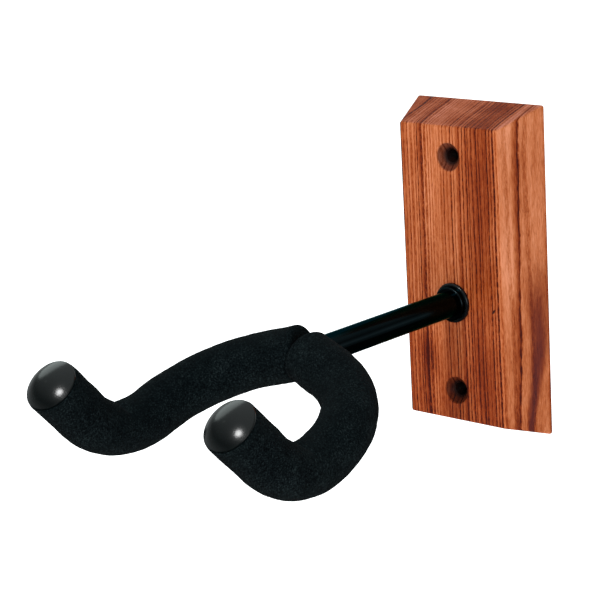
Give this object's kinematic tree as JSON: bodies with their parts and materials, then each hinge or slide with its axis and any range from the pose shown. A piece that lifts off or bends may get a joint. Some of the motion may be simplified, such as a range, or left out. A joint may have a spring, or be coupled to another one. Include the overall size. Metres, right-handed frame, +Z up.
{
  "type": "wall guitar hanger",
  "caption": "Wall hanger for a guitar: a bevelled hardwood block carries a steel shaft with a foam-padded, upturned yoke that swivels on it.",
  "frame": {"origin": "centre of the block's flat back face, which lies against the wall", "axes": "+Y into the wall, -Y out into the room along the shaft; +X to the right as seen from the front; +Z up"},
  "size_m": [0.0974, 0.1829, 0.1192],
  "materials": {
    "hardwood": "oiled satin, fine straight grain",
    "bush_plastic": "moulded, glossy",
    "black_steel": "gloss black powder coat",
    "spring_steel": "oiled spring steel",
    "zinc_steel": "bright zinc plate",
    "nylon": "natural nylon",
    "cap_plastic": "moulded, glossy",
    "foam": "matt closed-cell foam"
  },
  "bodies": {
    "block": {"wood_block": "hardwood", "front_bush": "bush_plastic", "rear_bush": "bush_plastic"},
    "yoke": {"shaft": "black_steel", "thrust_collar": "black_steel", "disc_spring": "spring_steel", "flat_washer": "zinc_steel", "lock_nut": "zinc_steel", "lock_nut_insert": "nylon", "yoke_rod": "black_steel", "yoke_weld": "black_steel", "end_cap_left": "cap_plastic", "end_cap_right": "cap_plastic", "foam_sleeve_left": "foam", "foam_sleeve_right": "foam"}
  },
  "joints": [
    {"name": "yoke_swivel", "type": "hinge", "parent": "block", "child": "yoke", "pos_m": [0, -0.016, -0.01], "axis": [0, -1, 0], "continuous": true}
  ]
}
